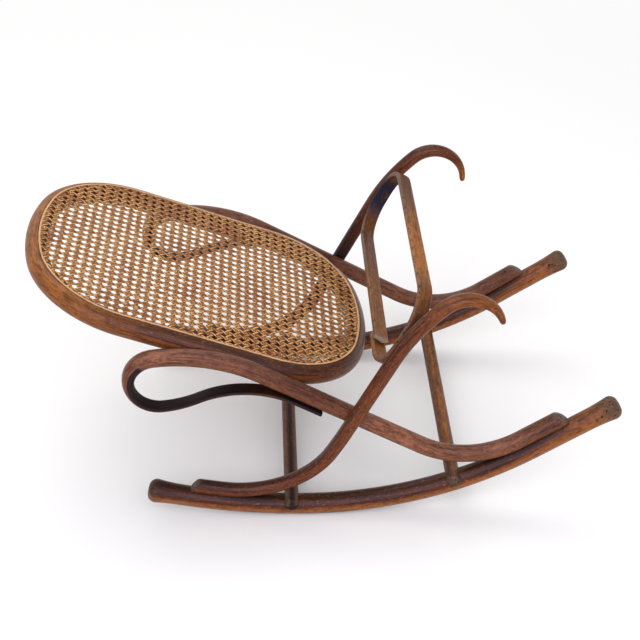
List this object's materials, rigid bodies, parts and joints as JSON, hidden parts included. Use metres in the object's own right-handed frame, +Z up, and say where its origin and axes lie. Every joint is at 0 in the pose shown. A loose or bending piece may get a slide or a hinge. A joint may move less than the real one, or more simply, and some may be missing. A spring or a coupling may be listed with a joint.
{
  "type": "rocking footstool",
  "caption": "Bentwood rocking footstool: caned oval ring on scrolled rails, crossed by hooked legs on two curved rockers, with a brace hoop and rungs.",
  "frame": {"origin": "centre of the overall box, on the floor under the rockers", "axes": "+X along the stool towards the hooks, +Y across it to the right side, +Z up"},
  "size_m": [0.8017, 0.437, 0.3672],
  "materials": {
    "bentwood_dark": "dark stained and waxed, worn",
    "bentwood_brown": "dark stained and waxed, worn",
    "bentwood_worn": "stain worn through to golden brown",
    "cane": "aged honey cane, satin",
    "binding_cane": "tan cane strip, satin",
    "screw_iron": "dull dark iron"
  },
  "bodies": {
    "root": {"left_rocker": "bentwood_dark", "right_rocker": "bentwood_dark", "left_seat_rail": "bentwood_brown", "right_seat_rail": "bentwood_brown", "left_hook_leg": "bentwood_dark", "right_hook_leg": "bentwood_dark", "front_rung": "bentwood_brown", "rear_rung": "bentwood_brown", "seat_ring": "bentwood_brown", "cane_web": "cane", "cane_binder": "binding_cane", "brace_hoop": "bentwood_worn", "rail_foot_screws": "screw_iron", "leg_foot_screws": "screw_iron", "rung_screws": "screw_iron", "crossing_screws": "screw_iron", "strap_screws": "screw_iron", "ring_screws": "screw_iron", "hoop_screws": "screw_iron"}
  },
  "joints": []
}
